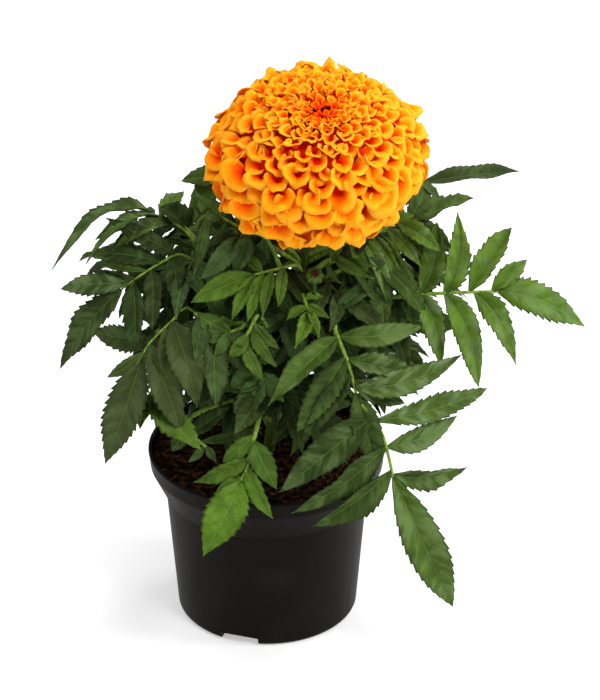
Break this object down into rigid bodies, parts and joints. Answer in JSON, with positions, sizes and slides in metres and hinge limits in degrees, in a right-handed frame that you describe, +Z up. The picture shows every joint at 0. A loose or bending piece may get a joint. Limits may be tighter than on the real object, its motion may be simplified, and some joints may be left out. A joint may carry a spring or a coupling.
{
  "type": "potted african marigold",
  "caption": "Potted African marigold: one large ball-shaped double orange bloom over toothed pinnate leaves, rooted in soil in a round dark nursery pot.",
  "frame": {"origin": "Centre of the pot's foot, on the surface that it stands on.", "axes": "+Z is up along the pot's axis. -Y faces the viewer of the pictured side, towards which the bloom leans. +X is to that viewer's right."},
  "size_m": [0.2575, 0.1968, 0.2993],
  "materials": {
    "pot_plastic": "satin",
    "soil": "matte",
    "stem_green": "satin",
    "leaf_green": "satin",
    "petal_orange": "matte"
  },
  "bodies": {
    "root": {"pot": "pot_plastic", "soil": "soil", "stem": "stem_green", "calyx": "stem_green", "bud": "stem_green", "bloom": "petal_orange", "frond_right": "leaf_green", "frond_front_right": "leaf_green", "frond_hanging_right": "leaf_green", "frond_centre": "leaf_green", "frond_left": "leaf_green", "frond_left_arch": "leaf_green", "frond_low_left": "leaf_green", "frond_front": "leaf_green", "frond_rim_left": "leaf_green", "frond_upper_right": "leaf_green", "frond_right_inner": "leaf_green", "frond_upper_left": "leaf_green", "frond_inner_left": "leaf_green", "frond_inner_front": "leaf_green", "frond_young": "leaf_green", "frond_behind_right": "leaf_green", "frond_behind_left": "leaf_green", "frond_right_low": "leaf_green", "frond_back_left": "leaf_green", "frond_back_right": "leaf_green", "frond_back_middle": "leaf_green", "frond_back_low_left": "leaf_green", "frond_back_low_right": "leaf_green", "frond_back_upper": "leaf_green"}
  },
  "joints": []
}
